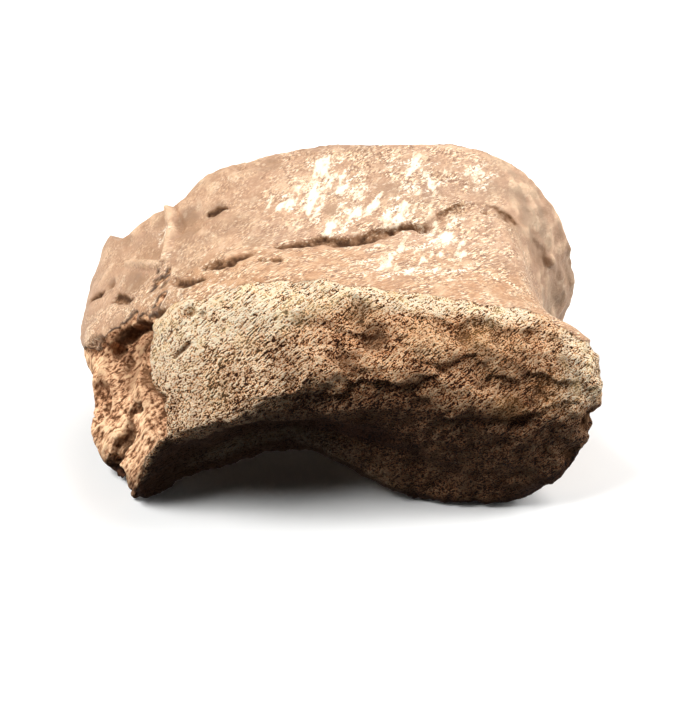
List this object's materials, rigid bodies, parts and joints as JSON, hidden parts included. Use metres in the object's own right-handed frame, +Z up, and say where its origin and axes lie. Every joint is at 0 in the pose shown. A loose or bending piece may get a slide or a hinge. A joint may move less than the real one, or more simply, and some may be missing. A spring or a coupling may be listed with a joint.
{
  "type": "fossil sauropod toe bone",
  "caption": "Stout fossil toe bone of a sauropod dinosaur, rolled at one end and flared round a shallow dish at the other, for display or study.",
  "frame": {"origin": "middle of the footprint, on the surface that the bone lies on", "axes": "+X to the bone's right when it is looked at from its rolled end, +Y along the toe from the rolled far-joint end to the dished near-joint end, +Z up from the plantar side to the dorsal side"},
  "size_m": [0.116, 0.073, 0.0615],
  "materials": {
    "fossil_bone": "tan to brown mineralised bone: smooth and slightly glossy on top, coarse and porous on the rolled end and on the broken left side"
  },
  "bodies": {
    "root": {"toe_bone": "fossil_bone"}
  },
  "joints": []
}
